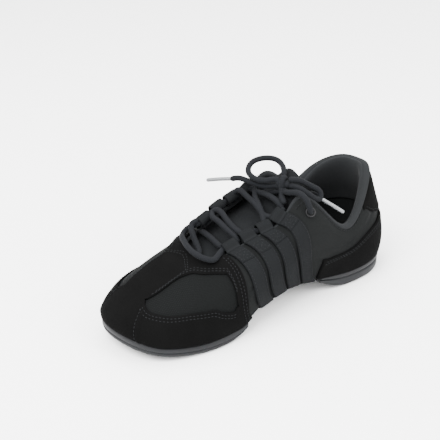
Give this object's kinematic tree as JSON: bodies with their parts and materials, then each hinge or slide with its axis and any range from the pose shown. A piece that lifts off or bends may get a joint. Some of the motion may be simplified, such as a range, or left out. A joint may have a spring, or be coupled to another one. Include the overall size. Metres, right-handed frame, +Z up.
{
  "type": "dance sneaker",
  "caption": "Low lace-up dance sneaker for the left foot, with a split rubber sole, a suede and fabric upper and webbing lace straps.",
  "frame": {"origin": "on the floor, under the middle of the shoe's box, without its loose laces", "axes": "+Z up, toe towards -Y, heel towards +Y, outer side of the left foot towards +X"},
  "size_m": [0.0966, 0.249, 0.1052],
  "materials": {
    "fabric": "black woven fabric, matte",
    "suede": "black suede, napped",
    "rubber": "black moulded rubber, satin",
    "lining": "dark grey jersey over foam",
    "insole": "black fabric over foam",
    "webbing": "black ribbed webbing tape",
    "lace": "dark grey braided lace, matte",
    "aglet": "clear plastic film over the lace's end"
  },
  "bodies": {
    "root": {"upper": "fabric", "base": "fabric", "insole": "insole", "forefoot_sole": "rubber", "heel_sole": "rubber", "tongue": "lining", "collar_padding": "lining", "toe_suede": "suede", "heel_counter": "suede", "heel_tab": "suede", "strap_outer_1": "webbing", "strap_outer_2": "webbing", "strap_outer_3": "webbing", "strap_outer_4": "webbing", "strap_inner_1": "webbing", "strap_inner_2": "webbing", "strap_inner_3": "webbing", "strap_inner_4": "webbing", "lace_bar": "lace", "lace_front_inner": "lace", "lace_front_outer": "lace", "lace_row_front": "lace", "lace_row_back": "lace", "lace_under": "lace", "lace_knot": "lace", "lace_bow_toe": "lace", "lace_bow_heel": "lace", "lace_end_toe": "lace", "lace_end_heel": "lace", "lace_stay_outer": "lace", "lace_stay_inner": "lace", "lace_stay_eyelet": "lace", "aglet_toe": "aglet", "aglet_heel": "aglet"}
  },
  "joints": []
}
